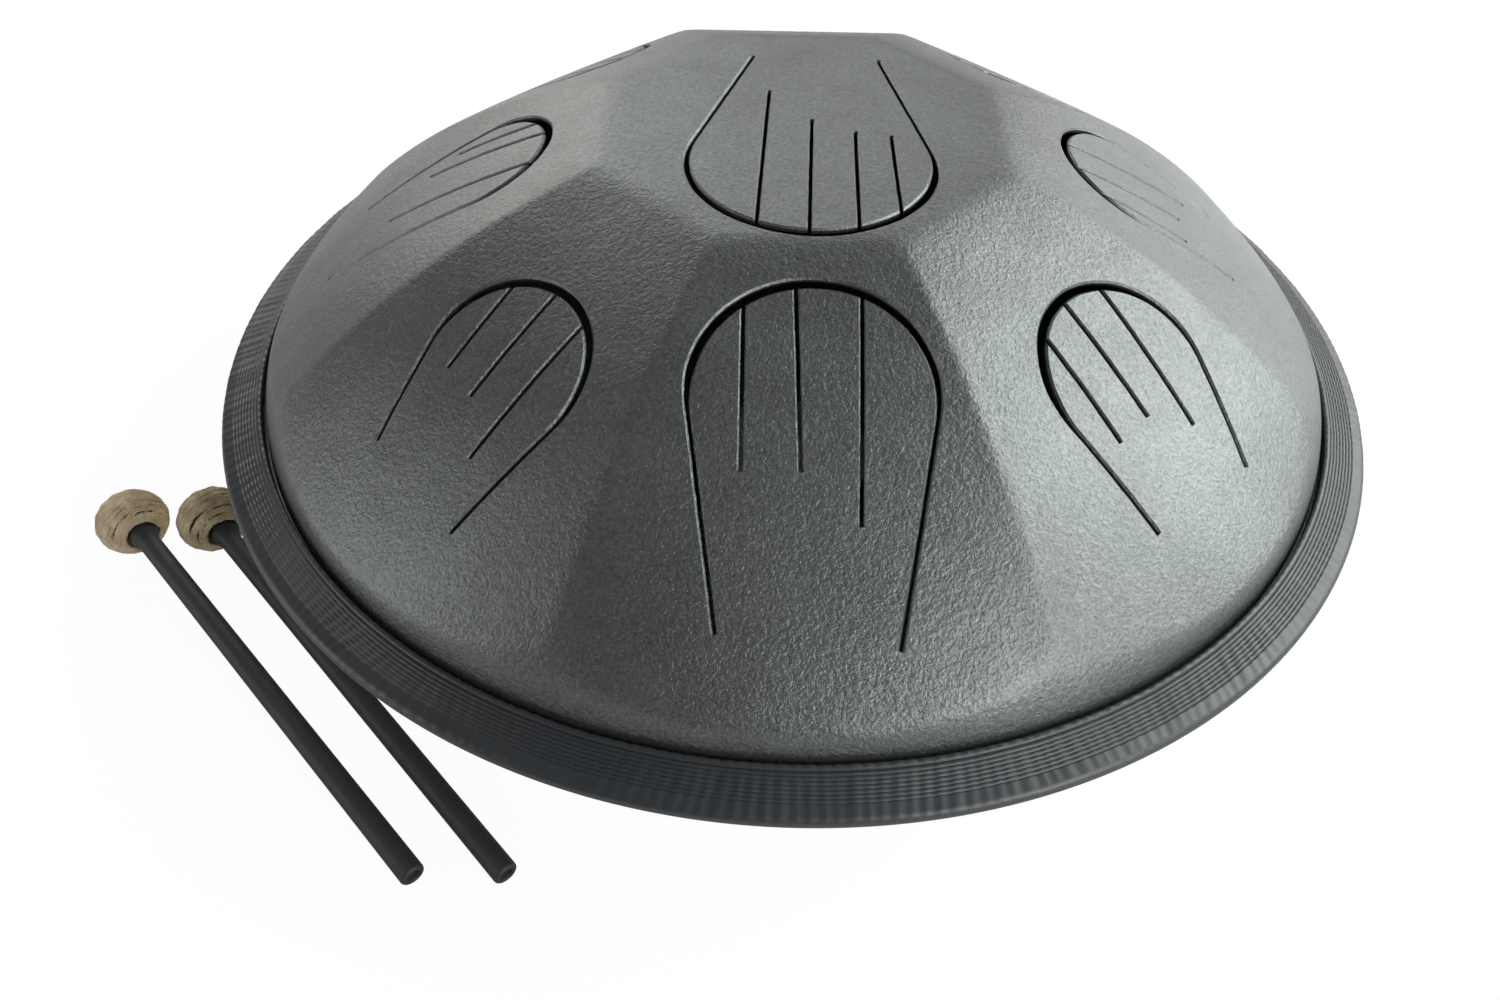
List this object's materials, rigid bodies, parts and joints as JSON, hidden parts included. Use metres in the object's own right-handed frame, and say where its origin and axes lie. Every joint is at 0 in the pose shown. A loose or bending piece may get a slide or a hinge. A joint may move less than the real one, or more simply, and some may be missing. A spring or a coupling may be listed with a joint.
{
  "type": "steel tongue drum",
  "caption": "Large steel tongue drum: an eight-sided domed shell with cut tongues, rubber rim trim, a dished lower shell with a sound port, screwed rubber feet and two wound mallets.",
  "frame": {"origin": "centre of the sound port in the lower shell's outer face", "axes": "-Z out of the sound port, towards the table; the facet that faces the player faces -Y; +X to the player's right"},
  "size_m": [0.5721, 0.5, 0.1945],
  "materials": {
    "shell_top": "satin metallic lacquer",
    "shell_bottom": "satin metallic lacquer",
    "bond": "matte",
    "trim": "matte",
    "foot": "matte",
    "fasteners": "plain",
    "mallet_rod": "plain",
    "mallet_sleeve": "matte",
    "mallet_core": "matte",
    "twine": "twisted yarn"
  },
  "bodies": {
    "drum": {"top_shell": "shell_top", "bottom_shell": "shell_bottom", "flange_bond": "bond", "rim_trim": "trim", "foot_front_right": "foot", "foot_back_right": "foot", "foot_back_left": "foot", "foot_front_left": "foot", "foot_screws": "fasteners", "foot_washers": "fasteners", "foot_nuts": "fasteners"},
    "mallet_1": {"mallet_1_rod": "mallet_rod", "mallet_1_sleeve": "mallet_sleeve", "mallet_1_collar": "mallet_sleeve", "mallet_1_core": "mallet_core", "mallet_1_winding": "twine"},
    "mallet_2": {"mallet_2_rod": "mallet_rod", "mallet_2_sleeve": "mallet_sleeve", "mallet_2_collar": "mallet_sleeve", "mallet_2_core": "mallet_core", "mallet_2_winding": "twine"}
  },
  "joints": [
    {"name": "mallet_1_lift", "type": "slide", "parent": "drum", "child": "mallet_1", "axis": [0, 0, 1], "range_m": [0, 0.3]},
    {"name": "mallet_2_draw", "type": "slide", "parent": "drum", "child": "mallet_2", "axis": [0.6871, -0.7266, 0], "range_m": [0, 0.3]}
  ]
}
